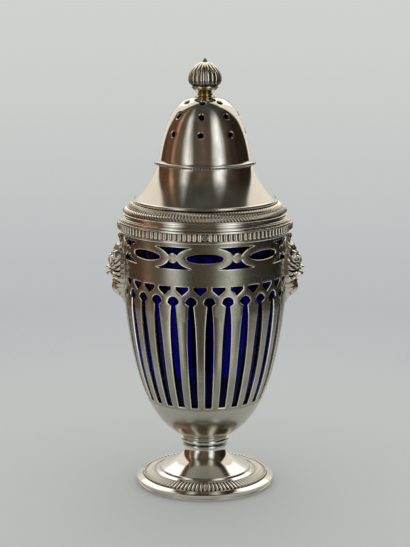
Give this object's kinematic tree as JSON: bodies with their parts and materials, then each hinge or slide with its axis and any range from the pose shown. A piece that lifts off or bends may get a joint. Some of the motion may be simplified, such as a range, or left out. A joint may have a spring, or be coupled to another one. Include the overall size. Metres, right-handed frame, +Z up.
{
  "type": "sugar caster",
  "caption": "Pierced silver vase-shaped sugar caster on a trumpet foot, with a glass liner, lion masks and a lift-off domed cover with sugar holes.",
  "frame": {"origin": "centre of the foot's standing face", "axes": "+Z up the caster's axis, lion masks at +X and -X, front towards -Y"},
  "size_m": [0.0922, 0.0812, 0.2],
  "materials": {
    "polished_silver": "polished silver with a faint warm tarnish",
    "satin_silver": "satin silver, brushed round the body",
    "ornament_silver": "cast and milled silver, darkened in the recesses",
    "warm_silver": "silver with a yellow tone of worn gilding",
    "cobalt_glass": "clear cobalt-blue blown glass"
  },
  "bodies": {
    "frame": {"foot_ring": "polished_silver", "foot_shell": "polished_silver", "foot_gadroons": "ornament_silver", "knop": "polished_silver", "body": "satin_silver", "mask_left": "ornament_silver", "mask_right": "ornament_silver", "collar": "polished_silver", "frieze_lower_wire": "polished_silver", "frieze_band": "ornament_silver", "frieze_rosettes": "ornament_silver", "frieze_upper_wire": "polished_silver"},
    "glass": {"liner": "cobalt_glass"},
    "cover": {"lid_bezel": "polished_silver", "lid_rim": "polished_silver", "lid_milled_band": "ornament_silver", "bell_wire": "polished_silver", "lid_bell": "polished_silver", "dome_ring": "polished_silver", "lid_dome": "polished_silver", "finial_neck": "warm_silver", "finial_bud": "ornament_silver", "finial_washer": "polished_silver", "finial_nut": "polished_silver"}
  },
  "joints": [
    {"name": "liner_lift", "type": "slide", "parent": "frame", "child": "glass", "axis": [0, 0, 1], "range_m": [0, 0.1]},
    {"name": "lid_lift", "type": "slide", "parent": "glass", "child": "cover", "axis": [0, 0, 1], "range_m": [0, 0.06]}
  ]
}
